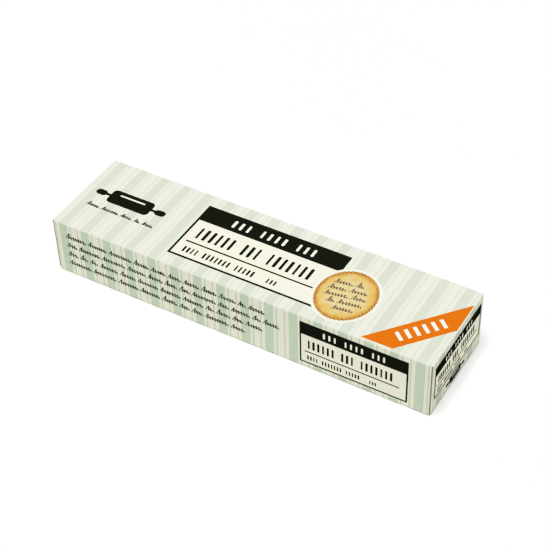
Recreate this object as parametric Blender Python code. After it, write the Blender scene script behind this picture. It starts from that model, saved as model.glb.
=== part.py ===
"""A shut paperboard carton for a sheet of rolled pastry, as one closed solid.

The four long panels are lofted along X from one section in the YZ plane, with creased folds along the
long edges and a glued seam at the lower back edge. Each end is shut by layers of board: the dust flaps
behind, then the lower flap folded up from the base, then the outer flap folded down from the top panel.
Metres, +Z up. The origin is the middle of the base, and the front panel faces -Y.
"""

from math import cos, pi, radians, sin

import bmesh
import bpy

# Outside size of the shut carton
CARTON_LENGTH = 0.290
CARTON_WIDTH = 0.0755
CARTON_HEIGHT = 0.0450

# Thickness of the paperboard, and how round its folds are
BOARD = 0.00045
FOLD_RADIUS = 0.0009
END_RADIUS = 0.0007
ARC_STEPS = 4

# Height of the back panel's cut edge above the base, where it laps over the glue tab
SEAM_HEIGHT = 0.0014

# End flaps: side edges stand in from the side panels, and the outer flap stops short of the base
OUTER_FLAP_INSET = 0.0004
OUTER_FLAP_CLEARANCE = 0.0010
LOWER_FLAP_INSET = 0.0007
LOWER_FLAP_HEIGHT = 0.026
FLAP_ROOT = 0.004
FLAP_CORNER_RADIUS = 0.0016
FLAP_CORNER_STEPS = 3

# Angle between faces above which an edge is drawn as a crease
CREASE_ANGLE = radians(30)

# Uncoated look of the board under its print
BOARD_COLOUR = (0.79, 0.82, 0.70, 1.0)
BOARD_ROUGHNESS = 0.5


def clear_scene():
    for obj in list(bpy.data.objects):
        bpy.data.objects.remove(obj, do_unlink=True)


def board_material():
    material = bpy.data.materials.new("printed_board")
    material.use_nodes = True
    shader = material.node_tree.nodes["Principled BSDF"]
    shader.inputs["Base Color"].default_value = BOARD_COLOUR
    shader.inputs["Roughness"].default_value = BOARD_ROUGHNESS
    shader.inputs["Metallic"].default_value = 0.0
    return material


def arc(centre, radius, start, turn=pi / 2):
    """Points on an arc round centre, from the angle start through the angle turn, both ends included."""
    angles = [start + turn * step / ARC_STEPS for step in range(ARC_STEPS + 1)]
    return [(centre[0] + radius * cos(a), centre[1] + radius * sin(a)) for a in angles]


def panel_section(inset):
    """The (y, z) outline of the four panels, drawn in by inset, anticlockwise seen from +X.

    The back panel ends above the base in a cut edge, and behind it the glue tab, one board further in,
    folds round into the base panel.
    """
    front = -CARTON_WIDTH / 2 + FOLD_RADIUS
    back = CARTON_WIDTH / 2 - FOLD_RADIUS
    low, high = FOLD_RADIUS, CARTON_HEIGHT - FOLD_RADIUS
    radius = FOLD_RADIUS - inset
    tab_face = CARTON_WIDTH / 2 - BOARD - inset
    back_face = CARTON_WIDTH / 2 - inset
    return [
        *arc((front, low), radius, pi),
        *arc((back - BOARD, low), radius, 3 * pi / 2),
        (tab_face, SEAM_HEIGHT),
        (back_face, SEAM_HEIGHT),
        *arc((back, high), radius, 0),
        *arc((front, high), radius, pi / 2),
    ]


def end_stations():
    """(x, inset) pairs along the carton, with the section drawn in round both shut ends."""
    half = CARTON_LENGTH / 2 - 2 * BOARD
    angles = [pi / 2 * step / ARC_STEPS for step in range(ARC_STEPS + 1)]
    right = [(half - END_RADIUS * (1 - sin(a)), END_RADIUS * (1 - cos(a))) for a in angles]
    left = [(-x, inset) for x, inset in reversed(right)]
    return left + right


def mesh_object(name, shape):
    """A new object that holds the bmesh shape, with its faces pointing out."""
    bmesh.ops.recalc_face_normals(shape, faces=shape.faces)
    mesh = bpy.data.meshes.new(name)
    shape.to_mesh(mesh)
    shape.free()
    obj = bpy.data.objects.new(name, mesh)
    bpy.context.scene.collection.objects.link(obj)
    return obj


def panels():
    """The closed tube of panels, lofted through the sections at both ends."""
    shape = bmesh.new()
    rings = [
        [shape.verts.new((x, y, z)) for y, z in panel_section(inset)] for x, inset in end_stations()
    ]
    for ring, following in zip(rings, rings[1:]):
        for i, vert in enumerate(ring):
            previous = i - 1
            shape.faces.new((ring[previous], vert, following[i], following[previous]))
    shape.faces.new(rings[0])
    shape.faces.new(rings[-1])
    return mesh_object("carton", shape)


def flap(name, outline, half_width, side):
    """A helper solid: the (x, z) outline of a flap at the right end, run across Y, or mirrored to the left.

    The outline's first two points are the ends of the flap's free edge, whose corners are rounded.
    """
    shape = bmesh.new()
    near = [shape.verts.new((side * x, -half_width, z)) for x, z in outline]
    far = [shape.verts.new((side * x, half_width, z)) for x, z in outline]
    for i in range(len(outline)):
        shape.faces.new((near[i - 1], near[i], far[i], far[i - 1]))
    shape.faces.new(near)
    shape.faces.new(far)
    corners = [shape.edges.get(row[:2]) for row in (near, far)]
    bmesh.ops.bevel(
        shape,
        geom=corners,
        offset=FLAP_CORNER_RADIUS,
        segments=FLAP_CORNER_STEPS,
        profile=0.5,
        affect="EDGES",
    )
    helper = mesh_object(name, shape)
    helper.hide_render = True
    helper.display_type = "WIRE"
    return helper


def outer_flap_outline():
    """Folded down from the top panel and stopping just above the base."""
    face = CARTON_LENGTH / 2
    root = face - FLAP_ROOT
    fold = (face - FOLD_RADIUS, CARTON_HEIGHT - FOLD_RADIUS)
    return [
        (root, OUTER_FLAP_CLEARANCE),
        (face, OUTER_FLAP_CLEARANCE),
        *arc(fold, FOLD_RADIUS, 0),
        (root, CARTON_HEIGHT),
    ]


def lower_flap_outline():
    """Folded up from the base, one board behind the outer flap."""
    face = CARTON_LENGTH / 2 - BOARD
    root = face - FLAP_ROOT
    fold = (face - FOLD_RADIUS, FOLD_RADIUS)
    return [
        (face, LOWER_FLAP_HEIGHT),
        (root, LOWER_FLAP_HEIGHT),
        (root, 0.0),
        *arc(fold, FOLD_RADIUS, -pi / 2),
    ]


def join(obj, helper):
    union = obj.modifiers.new(helper.name, "BOOLEAN")
    union.operation = "UNION"
    union.solver = "EXACT"
    union.object = helper


def build_carton():
    carton = panels()
    carton.data.shade_smooth()
    carton.data.set_sharp_from_angle(angle=CREASE_ANGLE)
    carton.data.materials.append(board_material())
    for side, end in ((-1, "left"), (1, "right")):
        outer_half = CARTON_WIDTH / 2 - OUTER_FLAP_INSET
        lower_half = CARTON_WIDTH / 2 - LOWER_FLAP_INSET
        join(carton, flap("lower_flap_" + end, lower_flap_outline(), lower_half, side))
        join(carton, flap("outer_flap_" + end, outer_flap_outline(), outer_half, side))


clear_scene()
build_carton()
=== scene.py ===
"""Looks of a shut paperboard carton for a sheet of rolled pastry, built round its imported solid.

The solid stays and is the board. All print is thin closed plates, one piece for each ink, laid on
the panels. Print is measured in millimetres, and a place on a panel is (across, down) from the
panel's upper left corner, the way its print is read. The rest is in metres, in the solid's frame.
"""

import random
from collections import namedtuple
from math import ceil, cos, pi, radians, sin

import bmesh
import bpy
from mathutils import Matrix, Vector

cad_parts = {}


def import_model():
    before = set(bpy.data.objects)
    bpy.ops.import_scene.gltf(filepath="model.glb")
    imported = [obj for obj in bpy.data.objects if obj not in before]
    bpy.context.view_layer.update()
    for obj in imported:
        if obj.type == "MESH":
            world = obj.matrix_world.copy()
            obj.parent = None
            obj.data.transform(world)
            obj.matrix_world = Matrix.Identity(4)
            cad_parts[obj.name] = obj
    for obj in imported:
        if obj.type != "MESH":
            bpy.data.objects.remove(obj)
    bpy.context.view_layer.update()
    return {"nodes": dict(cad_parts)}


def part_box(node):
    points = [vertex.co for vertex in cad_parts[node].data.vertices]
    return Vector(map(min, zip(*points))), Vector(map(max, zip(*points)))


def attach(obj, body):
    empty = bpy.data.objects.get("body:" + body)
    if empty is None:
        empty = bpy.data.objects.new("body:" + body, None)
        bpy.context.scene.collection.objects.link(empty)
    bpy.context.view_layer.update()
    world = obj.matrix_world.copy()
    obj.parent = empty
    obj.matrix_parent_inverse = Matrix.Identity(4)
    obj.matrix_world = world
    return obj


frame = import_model()

MM = 0.001
LOW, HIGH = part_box("carton")
LENGTH, WIDTH, HEIGHT = HIGH - LOW

# The board's folds and flaps, as the solid has them
FOLD_RADIUS = 0.9 * MM
BOARD = 0.45 * MM
SEAM_HEIGHT = 1.4 * MM
FLAP_CLEARANCE = 1.0 * MM
FLAP_INSET = 0.4 * MM
FLAP_DEPTH = 2 * BOARD

# A face of a flap counts as a cut edge where its normal leans at least this far to the side or down
STEEP = 0.7

# Ink stands this much higher for each layer of print, and reaches this far into the board
LAYER = 0.05 * MM
SINK = 0.03 * MM

# Plates are shaded smooth across an edge up to this angle, and sharp past it
CREASE_ANGLE = radians(30)

# Camera, from the corners of the carton in the photograph
AZIMUTH = radians(31.39)
ELEVATION = radians(42.57)
ROLL = radians(1.70)
DISTANCE = 1.0194
AIM = Vector((0.0051, 0.0084, HEIGHT / 2))
FOCAL_LENGTH = 98.18
SENSOR = 36.0

# Light of the surround on each side, the share of it left overhead, and the bright band at the horizon
LEFT_LIGHT, RIGHT_LIGHT = 0.45, 0.0
FRONT_LIGHT, BACK_LIGHT = 0.05, 0.45
UPPER_LIGHT = 0.40
UPPER_FROM = 0.35
HORIZON_LIGHT = 1.15
HORIZON_TOP = 0.08
BACKDROP = 1.3
SUN_ENERGY = 3.7
SUN_SPREAD = 25
SUN_FROM = (0.0, -0.15, 1.0)

# Linear light in and out of the film, above the straight part
SHOULDER = [
    (0.35, 0.35), (0.70, 0.70), (0.80, 0.755), (0.90, 0.80),
    (1.0, 0.845), (1.1, 0.895), (1.2, 0.95),
]
WHITE_POINT = 1.3

FLOOR_LEVEL = -0.25 * MM
FLOOR_REACH = 60.0
FLOOR_PATCH = 0.4
FLOOR_ROUGHNESS = 0.9

# Inks, as their sRGB values
SAGE = (190, 202, 179)
MINT = (217, 228, 206)
OLIVE_LINE = (195, 202, 181)
ROSE_LINE = (200, 203, 184)
CREAM = (239, 237, 210)
GROUND = (227, 229, 203)
BLACK = (20, 22, 15)
WHITE = (241, 241, 225)
ORANGE = (217, 103, 0)
BROWN = (72, 54, 36)
GOLD_MIDDLE = (214, 191, 141)
GOLD_RING = (218, 167, 86)
GOLD_RIM = (182, 136, 62)
GOLD_EDGE = (146, 90, 34)
WORN = (236, 234, 220)
# Unprinted board on the cut edges, made darker with painted shade of the gaps it lies in
RAW_BOARD_AND_GAP_SHADE = (112, 111, 84)
FLOOR_PAPER = [(248, 248, 248), (251, 251, 251)]

# Grain of the print and the board: sizes of the patches, and heights of the relief in millimetres
PATCH = 7 * MM
FIBRE = 0.5 * MM
FLECK = 0.25 * MM
PULP = 0.2 * MM
RIPPLE = 45 * MM
FIBRE_RELIEF = 0.010
RIPPLE_RELIEF = 0.20

# How far fibre and patches change the tone, and the range of the roughness
FIBRE_TONES = (0.965, 1.035)
PATCH_TONES = (0.985, 1.015)
PULP_TONES = (0.80, 1.15)
ROUGHNESS = (0.48, 0.60)

# Levels of the noise between which the fibre's tone, its roughness and the pinholes change
TONE_LEVELS = (0.25, 0.75)
ROUGHNESS_LEVELS = (0.2, 0.8)
PINHOLE_LEVELS = (0.80, 0.88)

# Wear reaches this far in from a fold: full up to the first distance, none past the second
WORN_REACH = (0.45 * MM, 1.1 * MM)
WORN_RAGGEDNESS = 0.9 * MM

# Stripes: where the first repeat starts, how wide it is, and each band's ink, offset in it and width
FIRST_REPEAT = 5.2
REPEAT = 18.2
BANDS = [("sage", 0.2, 6.7), ("mint", 7.0, 1.8), ("olive", 8.95, 1.0), ("rose", 14.8, 1.1)]

# The stripes stop this far from the carton's ends, and what is left of a band below this width isn't printed
BAND_MARGIN = 1.6
THINNEST_BAND = 0.3

# The same stripes on the ends: their first repeat, their scale, and their gap to the outer flap's edge
END_FIRST_REPEAT = 8.2
END_SCALE = 1.27
END_GAP = 0.1

# Labels: the panel, the upper left corner, the size, and the weight of the print on it
Label = namedtuple("Label", "panel left top width height weight")
LABELS = [
    Label("top", 87.6, 10.8, 112.0, 54.4, 1.0),
    Label("front", 195.6, 4.8, 78.2, 36.0, 1.0),
    Label("back", 16.2, 4.8, 78.2, 36.0, 1.0),
    Label("right", 4.8, 6.2, 67.7, 27.9, 1.25),
    Label("left", 4.8, 6.2, 67.7, 27.9, 1.25),
]

# Parts of a label as shares of its size, and its rows of blocks, each of which fills a share of its slot
LABEL_HEAD = 0.296
LABEL_RIM = 0.0315
LABEL_RULE = 0.026
RULE_LEFT, RULE_RIGHT, RULE_LEVEL = 0.046, 0.925, 0.707
Row = namedtuple("Row", "ink left right top bottom groups share")
LABEL_ROWS = [
    Row("white", 0.205, 0.806, 0.096, 0.226, (3, 4, 3), 0.33),
    Row("black", 0.064, 0.872, 0.412, 0.620, (6, 3, 7), 0.44),
    Row("black", 0.064, 0.567, 0.799, 0.904, (4, 7, 5), 0.46),
    Row("black", 0.647, 0.722, 0.820, 0.905, (3,), 0.50),
]
BLOCK_WIDTHS = (0.8, 1.2)
BLOCK_ROUNDNESS = 0.6

# Lines of pen waves: the ink, panel, left end, baseline, width, wave height, stroke, random seed and tilt.
# The front and the back panel have lines with the same baselines and widths.
PenLine = namedtuple("PenLine", "ink panel left baseline width size stroke seed tilt", defaults=(0.0,))
SIDE_LINES = [(12.4, 160.5), (20.3, 171.0), (28.2, 157.5), (36.1, 144.0)]
PEN_LINES = [PenLine("black", "top", 10.0, 50.5, 56.0, 2.3, 0.6, 11)]
for row, (baseline, width) in enumerate(SIDE_LINES):
    PEN_LINES.append(PenLine("black", "front", 10.0, baseline, width, 2.6, 0.6, 20 + row))
    PEN_LINES.append(PenLine("black", "back", 108.0, baseline, width, 2.6, 0.6, 30 + row))

# Groups of pen waves: the pitch as a share of the height, the gap in pitches, and how many waves
PEN_PITCH, PEN_GAP = 0.8, 0.9
FEWEST_WAVES, MOST_WAVES = 3, 9

# How wide and high a wave is, and how high the first and the last one are, as shares of pitch and height
WAVE_WIDTHS, WAVE_HEIGHTS = (0.85, 1.15), (0.9, 1.1)
FIRST_HEIGHTS, LAST_HEIGHT = (1.5, 2.0), 0.5

# Steps in a wave, how far it leans right for its height, and how much wider its stroke is where it runs down
WAVE_STEPS, WAVE_SLANT, PEN_PRESS = 8, 0.45, 0.25

# The rolling pins: the panel, then left, top, right and bottom
ROLLING_PINS = [("top", 8.8, 27.5, 66.0, 41.5)]
ROLLING_PINS += [(end, 23.0, 36.4, 50.6, 42.3) for end in ("left", "right")]

# The round patch on the top panel, and the width and shift of each of its lines
BADGE_CENTRE = (213.3, 45.1)
BADGE_RADII = (20.8, 24.0)
BADGE_BORDER = 2.0
BADGE_TILT = radians(-10)
BADGE_LINES = [(22, -0.8), (27, -0.6), (30, 0), (25, 0.8), (15, 1.5)]
BADGE_LINE_PITCH = 5.9
BADGE_WAVE = 2.6
BADGE_STROKE = 0.56
BADGE_SEED = 40
FLUTES = 46
FLUTE_STEPS = 8
FLUTE_DEPTH = 0.016

# Where the round patch turns golden, then brown at its rim, as shares of the way out, and how unevenly
GOLDEN_FROM, GOLDEN_TO, GOLDEN_UNEVEN = 0.50, 0.90, 0.6
RIM_FROM, RIM_TO, RIM_UNEVEN = 0.82, 0.93, 0.2
GOLD_PATCH = 5 * MM
GOLD_BLOTCH = 4 * MM

# Its brown teeth, by the cosine over a flute and by the way out, and the levels and share of its blotches
TOOTH_FROM, TOOTH_TO = 0.5, -0.5
TEETH_FROM, TEETH_TO = 0.89, 0.96
BLOTCH_LEVELS, BLOTCH_SHARE = (0.48, 0.72), 0.4

# The diagonal corner band: its left tip, lower end, right end and upper tip, and its row of blocks
FLASH = [(238.7, 73.7), (261.1, 73.5), (289.4, 39.8), (289.4, 13.4)]
FLASH_RUN = 37.0
FLASH_BLOCKS = 6
FLASH_BLOCK_SHARE = 0.40
FLASH_BLOCK_HEIGHT = 8.2

# The framed field under the carton: its border, its columns of lines, its rules and its empty square
BASE_FIELD = (20.0, 11.0, 270.0, 65.0)
BASE_RIM = 0.7
BASE_COLUMNS = [(7.0, 84.0), (100.0, 70.0)]
BASE_LINES_TOP, BASE_RULES_TOP, BASE_SQUARE_MARGIN = 6.0, 5.5, 9.0
BASE_LINES, BASE_LINE_PITCH, BASE_LINE_HEIGHT, BASE_LINE_RADIUS = 8, 5.4, 1.1, 0.4
BASE_LINE_WIDTHS = (0.72, 1.0)
BASE_SEED = 7
BASE_RULES, BASE_RULE_PITCH, BASE_RULE_HEIGHT = 7, 7.1, 0.35
BASE_RULES_ACROSS = (180.0, 212.0)
BASE_SQUARE = (219.0, 244.0)

Panel = namedtuple("Panel", "corner across down")


def make_panels():
    """The six panels, each with its upper left corner and its reading directions."""
    left, right = LOW.x, HIGH.x
    front, back = LOW.y, HIGH.y
    x, y, z = Vector((1, 0, 0)), Vector((0, 1, 0)), Vector((0, 0, 1))
    return {
        "top": Panel(Vector((left, back, HEIGHT)), x, -y),
        "front": Panel(Vector((left, front, HEIGHT)), x, -z),
        "back": Panel(Vector((right, back, HEIGHT)), -x, -z),
        "right": Panel(Vector((right, front, HEIGHT)), y, -z),
        "left": Panel(Vector((left, back, HEIGHT)), -y, -z),
        "base": Panel(Vector((left, front, 0)), x, y),
    }


PANELS = make_panels()


def on_board(panel, u, v):
    """The point of a panel at the place (u, v), in metres."""
    side = PANELS[panel]
    return side.corner + side.across * (u * MM) + side.down * (v * MM)


def linear(colour):
    """A colour for a shader socket, from its sRGB values."""
    values = [c / 255 for c in colour]
    return (*[v / 12.92 if v < 0.04045 else ((v + 0.055) / 1.055) ** 2.4 for v in values], 1.0)


def shade(colour, factor):
    return tuple(min(255, c * factor) for c in colour)


class Nodes:
    """A node tree, with short names for the nodes that are added to it."""

    def __init__(self, tree, coordinates):
        self.tree = tree
        self.place = self.add("ShaderNodeTexCoord").outputs[coordinates]

    def add(self, kind, inputs=(), **settings):
        node = self.tree.nodes.new(kind)
        for name, value in settings.items():
            setattr(node, name, value)
        for key, value in dict(inputs).items():
            self.feed(node, key, value)
        return node

    def feed(self, node, key, value):
        if isinstance(value, bpy.types.NodeSocket):
            self.tree.links.new(value, node.inputs[key])
        else:
            node.inputs[key].default_value = value

    def math(self, operation, *values):
        return self.add("ShaderNodeMath", enumerate(values), operation=operation).outputs[0]

    def noise(self, size, detail=2.0, stretch=(1, 1, 1)):
        """Soft noise from 0 to 1, with patches of about this size, drawn out along the axes by stretch."""
        where = self.add("ShaderNodeMapping", {"Vector": self.place, "Scale": [1 / s for s in stretch]})
        inputs = {"Vector": where.outputs[0], "Scale": 1 / size, "Detail": detail}
        return self.add("ShaderNodeTexNoise", inputs).outputs["Fac"]

    def ramp(self, value, low, high, to_low=0.0, to_high=1.0):
        """Value carried smoothly from the range low to high onto the range to_low to to_high."""
        inputs = {0: value, 1: low, 2: high, 3: to_low, 4: to_high}
        return self.add("ShaderNodeMapRange", inputs, interpolation_type="SMOOTHSTEP").outputs[0]

    def mix(self, share, first, second):
        inputs = {"Factor": share, 6: first, 7: second}
        return self.add("ShaderNodeMix", inputs, data_type="RGBA").outputs[2]

    def axes(self):
        return self.add("ShaderNodeSeparateXYZ", {0: self.place}).outputs


class Shader(Nodes):
    """The nodes of one material."""

    def __init__(self, name):
        self.material = bpy.data.materials.new(name)
        self.material.use_nodes = True
        super().__init__(self.material.node_tree, "Object")

    def set(self, **inputs):
        for name, value in inputs.items():
            self.feed(self.tree.nodes["Principled BSDF"], name.replace("_", " "), value)


def mottled(shader, colour):
    """The colour in broad faint patches, as printed."""
    tones = [linear(shade(colour, factor)) for factor in PATCH_TONES]
    return shader.mix(shader.noise(PATCH), *tones)


def near_fold(shader):
    """Distance to the nearest outer edge of the carton, measured over the panel, in metres."""
    x, y, z = shader.axes()
    from_end = shader.math("SUBTRACT", LENGTH / 2, shader.math("ABSOLUTE", x))
    from_side = shader.math("SUBTRACT", WIDTH / 2, shader.math("ABSOLUTE", y))
    above_middle = shader.math("ABSOLUTE", shader.math("SUBTRACT", z, HEIGHT / 2))
    from_level = shader.math("SUBTRACT", HEIGHT / 2, above_middle)
    smaller = shader.math("MINIMUM", from_end, from_side)
    larger = shader.math("MAXIMUM", from_end, from_side)
    return shader.math("MAXIMUM", smaller, shader.math("MINIMUM", larger, from_level))


def print_finish(shader, colour, specular, worn=0.3, bare=0.12):
    """Finish that all inks and the board share: fibre, pinholes, worn folds and a slight ripple.

    worn is how much bare board shows on the folds, and bare how much of it shows in the pinholes.
    """
    fibre = shader.noise(FIBRE, 4.0, stretch=(3.0, 1.0, 1.0))
    grey = shader.ramp(fibre, *TONE_LEVELS, *FIBRE_TONES)
    tone = shader.add("ShaderNodeCombineXYZ", {0: grey, 1: grey, 2: grey}).outputs[0]
    toned = shader.add("ShaderNodeVectorMath", {0: colour, 1: tone}, operation="MULTIPLY").outputs[0]
    edge = shader.math("MULTIPLY_ADD", fibre, WORN_RAGGEDNESS, near_fold(shader))
    rubbed = shader.ramp(edge, *WORN_REACH, worn, 0.0)
    pinholes = shader.ramp(shader.noise(FLECK, 1.0), *PINHOLE_LEVELS, 0.0, bare)
    base = shader.mix(shader.math("MAXIMUM", rubbed, pinholes), toned, linear(WORN))
    fine = shader.math("MULTIPLY", fibre, FIBRE_RELIEF)
    broad = shader.math("MULTIPLY", shader.noise(RIPPLE, 1.0), RIPPLE_RELIEF)
    relief = {"Height": shader.math("ADD", fine, broad), "Distance": MM, "Strength": 1.0}
    shader.set(
        Base_Color=base,
        Roughness=shader.ramp(fibre, *ROUGHNESS_LEVELS, *ROUGHNESS),
        Specular_IOR_Level=specular,
        Normal=shader.add("ShaderNodeBump", relief).outputs[0],
    )
    return shader.material


def ink(name, colour, specular=0.1, painted_top_light=0.0, **wear):
    """One ink. On the top panel it lets the given share of the ground's colour through: a painted highlight
    that makes the top paler, as the stronger light falling there does.
    """
    shader = Shader(name)
    tone = mottled(shader, colour)
    if painted_top_light:
        # Painted highlight: the ink is paler on the top panel, standing in for the brighter light that falls
        # on the top.
        height = shader.axes()[2]
        share = shader.ramp(height, HEIGHT - FOLD_RADIUS, HEIGHT, 0.0, painted_top_light)
        tone = shader.mix(share, tone, linear(GROUND))
    return print_finish(shader, tone, specular, **wear)


def board_material():
    """The printed ground of the board, with grey board on its cut edges, whose colour is partly the board's
    own and partly painted shade of the narrow gaps there.
    """
    shader = Shader("board")
    x, _, z = shader.axes()
    normal = shader.add("ShaderNodeNewGeometry").outputs["Normal"]
    _, sideways, upward = shader.add("ShaderNodeSeparateXYZ", {0: normal}).outputs
    in_flap = shader.math("GREATER_THAN", shader.math("ABSOLUTE", x), LENGTH / 2 - FLAP_DEPTH)
    faces_side = shader.math("GREATER_THAN", shader.math("ABSOLUTE", sideways), STEEP)
    above_base = shader.math("GREATER_THAN", z, FLAP_CLEARANCE / 2)
    faces_down = shader.math("LESS_THAN", upward, -STEEP)
    side_cut = shader.math("MULTIPLY", in_flap, faces_side)
    lower_cut = shader.math("MULTIPLY", above_base, faces_down)
    cut = shader.math("MAXIMUM", side_cut, lower_cut)
    pulp = shader.noise(PULP, 3.0, stretch=(1.0, 1.0, 4.0))
    # The cut edges' colour is grey board darkened by painted shade of the gaps between flaps and panels.
    cut_edge_tone = shader.mix(pulp, *[linear(shade(RAW_BOARD_AND_GAP_SHADE, factor)) for factor in PULP_TONES])
    return print_finish(shader, shader.mix(cut, mottled(shader, GROUND), cut_edge_tone), specular=0.1, worn=0.2)


def gold_material():
    """A baked round: pale in the middle, golden outside, and browned along its fluted rim."""
    shader = Shader("baked_gold")
    centre = on_board("top", *BADGE_CENTRE)
    x, y, _ = shader.axes()
    across = shader.math("DIVIDE", shader.math("SUBTRACT", x, centre.x), BADGE_RADII[0] * MM)
    along = shader.math("DIVIDE", shader.math("SUBTRACT", y, centre.y), BADGE_RADII[1] * MM)
    across_squared = shader.math("MULTIPLY", across, across)
    along_squared = shader.math("MULTIPLY", along, along)
    reach = shader.math("SQRT", shader.math("ADD", across_squared, along_squared))
    uneven = shader.math("SUBTRACT", shader.noise(GOLD_PATCH, 3.0), 0.5)
    golden = shader.ramp(shader.math("MULTIPLY_ADD", uneven, GOLDEN_UNEVEN, reach), GOLDEN_FROM, GOLDEN_TO)
    inner = shader.mix(golden, linear(GOLD_MIDDLE), linear(GOLD_RING))
    rim = shader.ramp(shader.math("MULTIPLY_ADD", uneven, RIM_UNEVEN, reach), RIM_FROM, RIM_TO)
    middle = shader.mix(rim, inner, linear(GOLD_RIM))
    turn = shader.math("MULTIPLY", shader.math("ARCTAN2", along, across), FLUTES)
    tooth = shader.ramp(shader.math("COSINE", turn), TOOTH_FROM, TOOTH_TO)
    at_edge = shader.ramp(reach, TEETH_FROM, TEETH_TO)
    browned = shader.mix(shader.math("MULTIPLY", tooth, at_edge), middle, linear(GOLD_EDGE))
    blotches = shader.ramp(shader.noise(GOLD_BLOTCH, 3.0), *BLOTCH_LEVELS, 0.0, BLOTCH_SHARE)
    return print_finish(shader, shader.mix(blotches, browned, linear(GOLD_RING)), specular=0.1)


class Print:
    """Thin closed plates of one ink, gathered in one mesh."""

    def __init__(self, name, layers):
        self.name = name
        self.rise = layers * LAYER
        self.shape = bmesh.new()

    def sheet(self, points, normals, faces):
        """A closed plate over the faces: its outer skin stands up, and its inner one lies in the board."""
        outer = [self.shape.verts.new(p + n * self.rise) for p, n in zip(points, normals)]
        inner = [self.shape.verts.new(p - n * SINK) for p, n in zip(points, normals)]
        sides = set()
        for face in faces:
            self.shape.faces.new([outer[i] for i in face])
            self.shape.faces.new([inner[i] for i in reversed(face)])
            sides.update(zip(face, face[1:] + face[:1]))
        for start, end in sorted(sides):
            if (end, start) not in sides:
                self.shape.faces.new([outer[end], outer[start], inner[start], inner[end]])

    def on_panel(self, panel, places, faces):
        out = PANELS[panel].down.cross(PANELS[panel].across)
        points = [on_board(panel, u, v) for u, v in places]
        self.sheet(points, [out] * len(points), faces)

    def plate(self, panel, outline):
        self.on_panel(panel, outline, [list(range(len(outline)))])

    def box(self, panel, left, top, right, bottom, radius=0.0):
        self.plate(panel, rounded_box(left, top, right, bottom, radius))

    def border(self, panel, left, top, right, bottom, thick):
        """Four thin plates just inside a box."""
        self.box(panel, left, top, right, top + thick)
        self.box(panel, left, bottom - thick, right, bottom)
        self.box(panel, left, top + thick, left + thick, bottom - thick)
        self.box(panel, right - thick, top + thick, right, bottom - thick)

    def line(self, panel, places, width, press):
        """A ribbon along the places, with square ends, and wider by the share press where it runs down."""
        pairs = []
        for i, (u, v) in enumerate(places):
            before, after = places[max(i - 1, 0)], places[min(i + 1, len(places) - 1)]
            along = Vector((after[0] - before[0], after[1] - before[1])).normalized()
            half = width / 2 * (1 + press * along.y)
            pairs.append((u - along.y * half, v + along.x * half))
            pairs.append((u + along.y * half, v - along.x * half))
        self.on_panel(panel, pairs, ladder(len(places)))

    def wrap(self, start, end):
        """A band round the long panels, from start to end in millimetres from the carton's left end."""
        ends = [LOW.x + MM * x for x in (start, end)]
        path = section_path()
        points = [Vector((x, y, z)) for (y, z), _ in path for x in ends]
        normals = [Vector((0, y, z)) for _, (y, z) in path for _ in ends]
        self.sheet(points, normals, ladder(len(path)))

    def finish(self, material):
        bmesh.ops.recalc_face_normals(self.shape, faces=self.shape.faces)
        mesh = bpy.data.meshes.new(self.name)
        self.shape.to_mesh(mesh)
        self.shape.free()
        mesh.shade_smooth()
        mesh.set_sharp_from_angle(angle=CREASE_ANGLE)
        mesh.materials.append(material)
        piece = bpy.data.objects.new(self.name, mesh)
        bpy.context.scene.collection.objects.link(piece)
        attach(piece, "root")


def ladder(rungs):
    """Faces of a strip whose points come in pairs, one pair for each rung."""
    return [[2 * i, 2 * i + 1, 2 * i + 3, 2 * i + 2] for i in range(rungs - 1)]


def section_path():
    """The (y, z) line of the long panels and its normals, from the back panel's cut edge to the tab."""
    steps = 8
    support = 0.4 * MM
    above_seam = 0.1 * MM
    front, back = LOW.y + FOLD_RADIUS, HIGH.y - FOLD_RADIUS
    low, high = FOLD_RADIUS, HEIGHT - FOLD_RADIUS
    folds = [(back, high), (front, high), (front, low), (back - BOARD, low)]
    path = [((HIGH.y, SEAM_HEIGHT + above_seam), (1.0, 0.0))]
    for quarter, (y, z) in enumerate(folds):
        angles = [pi / 2 * (quarter + step / steps) for step in range(steps + 1)]
        arc = [((y + FOLD_RADIUS * cos(a), z + FOLD_RADIUS * sin(a)), (cos(a), sin(a))) for a in angles]
        (first, out), (last, on) = arc[0], arc[-1]
        before = (first[0] + out[1] * support, first[1] - out[0] * support)
        after = (last[0] - on[1] * support, last[1] + on[0] * support)
        path += [(before, out), *arc, (after, on)]
    return path


def rounded_box(left, top, right, bottom, radius):
    if not radius:
        return [(left, top), (right, top), (right, bottom), (left, bottom)]
    steps = 4
    inner = [(right - radius, top + radius), (right - radius, bottom - radius),
             (left + radius, bottom - radius), (left + radius, top + radius)]
    outline = []
    for quarter, (u, v) in enumerate(inner):
        for step in range(steps + 1):
            angle = pi / 2 * (quarter - 1 + step / steps)
            outline.append((u + radius * cos(angle), v + radius * sin(angle)))
    return outline


def disc(centre, radii, steps=180, ripples=0, ripple=0.0):
    """An oval outline, whose edge ripples in and out by this share."""
    outline = []
    for angle in (2 * pi * step / steps for step in range(steps)):
        reach = 1 + ripple * cos(ripples * angle)
        u = centre[0] + radii[0] * reach * cos(angle)
        v = centre[1] + radii[1] * reach * sin(angle)
        outline.append((u, v))
    return outline


prints = {
    "sage": Print("ink_sage", 1),
    "mint": Print("ink_mint", 1),
    "olive": Print("ink_olive_line", 1),
    "rose": Print("ink_rose_line", 1),
    "orange": Print("ink_orange", 2),
    "cream": Print("ink_cream", 2),
    "black": Print("ink_black", 3),
    "white": Print("ink_white", 4),
    "gold": Print("ink_gold", 5),
    "brown": Print("ink_brown", 6),
}


def bands(first, scale, low, high):
    """Each stripe between low and high, as its ink, start and end, where the pattern starts at first."""
    repeats = ceil((high - first) / (scale * REPEAT))
    for name, offset, width in BANDS:
        for k in range(-1, repeats):
            begin = first + scale * (REPEAT * k + offset)
            start, end = max(begin, low), min(begin + scale * width, high)
            if end - start > THINNEST_BAND:
                yield name, start, end


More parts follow.
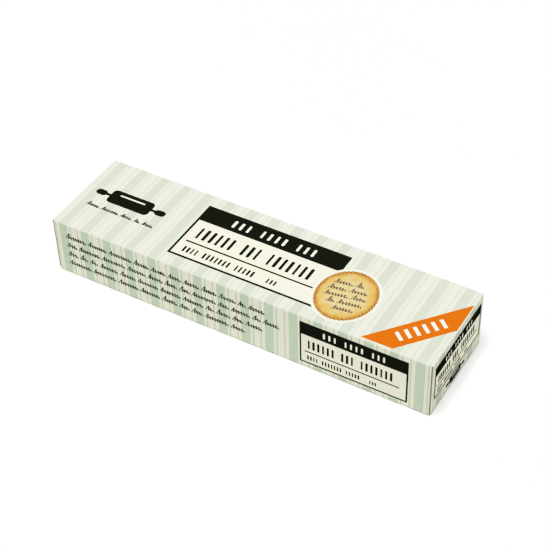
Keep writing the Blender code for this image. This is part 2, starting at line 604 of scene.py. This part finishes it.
def stripes():
    """The striped ground: bands round the long panels, and upright bands on both ends."""
    for name, start, end in bands(FIRST_REPEAT, 1.0, BAND_MARGIN, LENGTH / MM - BAND_MARGIN):
        prints[name].wrap(start, end)
    inset = FLAP_INSET / MM
    top, bottom = FOLD_RADIUS / MM, (HEIGHT - FLAP_CLEARANCE) / MM - END_GAP
    for name, start, end in bands(END_FIRST_REPEAT, END_SCALE, inset, WIDTH / MM - inset):
        for panel in ("left", "right"):
            prints[name].box(panel, start, top, end, bottom)


def blocks(name, panel, left, right, top, bottom, groups, share, seed):
    """Upright blocks in groups that fill the space, some a little wider."""
    draw = random.Random(seed)
    slots = sum(groups) + len(groups) - 1
    pitch = (right - left) / slots
    middle = left + pitch / 2
    for count in groups:
        for _ in range(count):
            half = pitch * share * draw.uniform(*BLOCK_WIDTHS) / 2
            prints[name].box(panel, middle - half, top, middle + half, bottom, BLOCK_ROUNDNESS * half)
            middle += pitch
        middle += pitch


def label(panel, left, top, width, height, weight):
    """The framed label: a dark head with pale blocks, a row of tall blocks, a rule and small blocks."""
    right, bottom = left + width, top + height
    rim = LABEL_RIM * height * weight
    below_head = top + LABEL_HEAD * height - rim
    black = prints["black"]
    prints["cream"].box(panel, left, top, right, bottom)
    black.box(panel, left, top, right, below_head)
    black.border(panel, left, below_head, right, bottom, rim)
    for seed, row in enumerate(LABEL_ROWS):
        across = (left + width * row.left, left + width * row.right)
        down = (top + height * row.top, top + height * row.bottom)
        share = row.share * weight if row.ink == "black" else row.share
        blocks(row.ink, panel, *across, *down, row.groups, share, seed)
    level = top + RULE_LEVEL * height
    half = LABEL_RULE * height * weight / 2
    black.box(panel, left + RULE_LEFT * width, level - half, left + RULE_RIGHT * width, level + half)


def pen_waves(draw, count, start, size):
    """Places of one group of pen waves, right and up from start: the first wave is taller, the last low."""
    places = []
    u = start
    for wave in range(count):
        wide = PEN_PITCH * size * draw.uniform(*WAVE_WIDTHS)
        rise = size * draw.uniform(*WAVE_HEIGHTS)
        if wave == 0:
            rise = size * draw.uniform(*FIRST_HEIGHTS)
        if wave == count - 1:
            rise = size * LAST_HEIGHT
        for step in range(WAVE_STEPS):
            up = rise * (1 - cos(2 * pi * step / WAVE_STEPS)) / 2
            places.append((u + wide * step / WAVE_STEPS + WAVE_SLANT * up, up))
        u += wide
    places.append((u, 0.0))
    return places


def pen_line(line):
    """A line of pen waves, in groups that end where the line does."""
    draw = random.Random(line.seed)
    pitch = PEN_PITCH * line.size
    along, aside = cos(line.tilt), sin(line.tilt)
    u = 0.0
    while u < line.width - FEWEST_WAVES * pitch:
        count = draw.randint(FEWEST_WAVES, MOST_WAVES)
        room = int((line.width - u) / pitch)
        if room <= count + FEWEST_WAVES:
            count = room
        places = pen_waves(draw, count, u, line.size)
        turned = [(a * along + b * aside, a * aside - b * along) for a, b in places]
        placed = [(line.left + a, line.baseline + b) for a, b in turned]
        prints[line.ink].line(line.panel, placed, line.stroke, PEN_PRESS)
        u = places[-1][0] + PEN_GAP * pitch


def rolling_pin(panel, left, top, right, bottom):
    """A rolling pin, drawn flat: a roller with a pale line, and a neck and a grip at each end."""
    length, tall = right - left, bottom - top
    middle = (top + bottom) / 2
    grip, neck, lap = 0.15 * length, 0.05 * length, 0.005 * length
    grip_half, neck_half, shine_half = 0.2 * tall, 0.08 * tall, 0.045 * tall
    roller_radius, grip_radius = 0.22 * tall, 0.95 * grip_half
    roller_left, roller_right = left + grip + neck, right - grip - neck
    black = prints["black"]
    black.box(panel, roller_left, top, roller_right, bottom, roller_radius)
    for start in (left, right - grip):
        black.box(panel, start, middle - grip_half, start + grip, middle + grip_half, grip_radius)
    for start, end in ((left + grip, roller_left), (roller_right, right - grip)):
        black.box(panel, start - lap, middle - neck_half, end + lap, middle + neck_half)
    shine, margin = top + 0.3 * tall, 0.12 * length
    shine_left, shine_right = roller_left + margin, roller_right - margin
    prints["white"].box(panel, shine_left, shine - shine_half, shine_right, shine + shine_half, shine_half)


def badge():
    """A round printed patch with a pale border, a baked fluted round and a few lines of pen waves."""
    across, down = BADGE_RADII
    prints["white"].plate("top", disc(BADGE_CENTRE, (across + BADGE_BORDER, down + BADGE_BORDER)))
    prints["gold"].plate("top", disc(BADGE_CENTRE, BADGE_RADII, FLUTE_STEPS * FLUTES, FLUTES, FLUTE_DEPTH))
    along, aside = cos(BADGE_TILT), sin(BADGE_TILT)
    middle_row = len(BADGE_LINES) // 2
    for row, (width, shift) in enumerate(BADGE_LINES):
        drop = BADGE_LINE_PITCH * (row - middle_row) + BADGE_WAVE
        left = BADGE_CENTRE[0] - width / 2 * along - drop * aside + shift
        baseline = BADGE_CENTRE[1] + drop * along - width / 2 * aside
        seed = BADGE_SEED + row
        pen_line(PenLine("brown", "top", left, baseline, width, BADGE_WAVE, BADGE_STROKE, seed, BADGE_TILT))


def flash():
    """The diagonal corner band, with plain blocks along its middle."""
    prints["orange"].plate("top", FLASH)
    left_tip, lower_end, right_end, upper_tip = [Vector(place) for place in FLASH]
    start, end = (left_tip + lower_end) / 2, (upper_tip + right_end) / 2
    along = (end - start).normalized()
    up = Vector((along.y, -along.x)) * FLASH_BLOCK_HEIGHT / 2
    pitch = FLASH_RUN / FLASH_BLOCKS
    first = (start + end) / 2 - along * (FLASH_RUN - pitch * (1 - FLASH_BLOCK_SHARE)) / 2
    for k in range(FLASH_BLOCKS):
        left = first + along * pitch * k
        right = left + along * pitch * FLASH_BLOCK_SHARE
        prints["white"].plate("top", [tuple(p) for p in (left - up, right - up, right + up, left + up)])


def base_print():
    """Plain small print under the carton: a framed field with lines, rules and an empty square."""
    left, top, right, bottom = BASE_FIELD
    black = prints["black"]
    prints["cream"].box("base", left, top, right, bottom)
    black.border("base", left, top, right, bottom, BASE_RIM)
    draw = random.Random(BASE_SEED)
    for row in range(BASE_LINES):
        v = top + BASE_LINES_TOP + BASE_LINE_PITCH * row
        for start, width in BASE_COLUMNS:
            u = left + start
            end = u + width * draw.uniform(*BASE_LINE_WIDTHS)
            black.box("base", u, v, end, v + BASE_LINE_HEIGHT, BASE_LINE_RADIUS)
    start, end = BASE_RULES_ACROSS
    for row in range(BASE_RULES):
        v = top + BASE_RULES_TOP + BASE_RULE_PITCH * row
        black.box("base", left + start, v, left + end, v + BASE_RULE_HEIGHT)
    start, end = BASE_SQUARE
    upper, lower = top + BASE_SQUARE_MARGIN, bottom - BASE_SQUARE_MARGIN
    black.border("base", left + start, upper, left + end, lower, BASE_RULE_HEIGHT)


stripes()
for place in LABELS:
    label(*place)
for place in ROLLING_PINS:
    rolling_pin(*place)
for line in PEN_LINES:
    pen_line(line)
badge()
flash()
base_print()

materials = {
    # The stripe inks take a painted highlight on the top panel: a share of the ground's colour, for the
    # brighter light there.
    "sage": ink("sage_ink", SAGE, painted_top_light=0.2),
    "mint": ink("mint_ink", MINT, painted_top_light=0.3),
    "olive": ink("olive_line_ink", OLIVE_LINE, painted_top_light=0.5),
    "rose": ink("rose_line_ink", ROSE_LINE, painted_top_light=0.5),
    "orange": ink("orange_ink", ORANGE),
    "cream": ink("cream_ink", CREAM),
    "black": ink("black_ink", BLACK, specular=0.0, worn=0.15, bare=0.02),
    "white": ink("white_ink", WHITE),
    "gold": gold_material(),
    "brown": ink("brown_ink", BROWN),
}
for name, printed in prints.items():
    printed.finish(materials[name])
carton = frame["nodes"]["carton"]
carton.data.materials.clear()
carton.data.materials.append(board_material())


def floor():
    mesh = bpy.data.meshes.new("floor")
    signs = [(-1, -1), (1, -1), (1, 1), (-1, 1)]
    corners = [(x * FLOOR_REACH, y * FLOOR_REACH, FLOOR_LEVEL) for x, y in signs]
    mesh.from_pydata(corners, [], [(0, 1, 2, 3)])
    shader = Shader("floor_paper")
    tone = shader.mix(shader.noise(FLOOR_PATCH), *[linear(colour) for colour in FLOOR_PAPER])
    shader.set(Base_Color=tone, Roughness=FLOOR_ROUGHNESS, Specular_IOR_Level=0.0)
    mesh.materials.append(shader.material)
    plane = bpy.data.objects.new("floor", mesh)
    bpy.context.scene.collection.objects.link(plane)


def sun(name, energy, spread, direction):
    """A broad light from far off, which shines from the direction."""
    lamp = bpy.data.lights.new(name, "SUN")
    lamp.energy = energy
    lamp.angle = radians(spread)
    light = bpy.data.objects.new(name, lamp)
    light.rotation_mode = "QUATERNION"
    light.rotation_quaternion = Vector(direction).to_track_quat("Z", "Y")
    bpy.context.scene.collection.objects.link(light)


def world():
    """A soft surround, brighter low down, on the left and at the back, and plain white to the camera."""
    surround = bpy.data.worlds.new("studio")
    surround.use_nodes = True
    nodes = Nodes(surround.node_tree, "Generated")
    x, y, z = nodes.axes()
    sideways = nodes.ramp(x, -1.0, 1.0, LEFT_LIGHT, RIGHT_LIGHT)
    depth = nodes.ramp(y, -1.0, 1.0, FRONT_LIGHT, BACK_LIGHT)
    level = nodes.ramp(z, 0.0, UPPER_FROM, 1.0, UPPER_LIGHT)
    horizon = nodes.ramp(z, 0.0, HORIZON_TOP, HORIZON_LIGHT, 0.0)
    soft = nodes.math("MULTIPLY", level, nodes.math("ADD", sideways, depth))
    seen = nodes.add("ShaderNodeLightPath").outputs["Is Camera Ray"]
    strength = nodes.add("ShaderNodeMix", {0: seen, 2: nodes.math("MAXIMUM", horizon, soft), 3: BACKDROP})
    background = surround.node_tree.nodes["Background"]
    nodes.feed(background, "Color", (1, 1, 1, 1))
    nodes.feed(background, "Strength", strength.outputs[0])
    bpy.context.scene.world = surround


def camera():
    forward = Vector((-sin(AZIMUTH) * cos(ELEVATION), cos(AZIMUTH) * cos(ELEVATION), -sin(ELEVATION)))
    level = Vector((cos(AZIMUTH), sin(AZIMUTH), 0))
    right = level * cos(ROLL) + forward.cross(level) * sin(ROLL)
    up = right.cross(forward)
    data = bpy.data.cameras.new("camera")
    data.lens = FOCAL_LENGTH
    data.sensor_width = SENSOR
    data.clip_start = 0.01
    data.clip_end = 100.0
    eye = bpy.data.objects.new("camera", data)
    turn = Matrix((right, up, -forward)).transposed().to_4x4()
    eye.matrix_world = Matrix.Translation(AIM - forward * DISTANCE) @ turn
    bpy.context.scene.collection.objects.link(eye)
    bpy.context.scene.camera = eye


def film():
    """Plain sRGB with a soft shoulder, as the photograph has in its pale tones."""
    settings = bpy.context.scene.view_settings
    settings.view_transform = "Standard"
    settings.look = "None"
    settings.use_curve_mapping = True
    curves = settings.curve_mapping
    curves.clip_max_x = 2.0
    combined = curves.curves[3]
    combined.points[1].location = (WHITE_POINT, 1.0)
    for point in SHOULDER:
        combined.points.new(*point)
    curves.update()


floor()
sun("overhead", SUN_ENERGY, SUN_SPREAD, SUN_FROM)
world()
camera()
film()
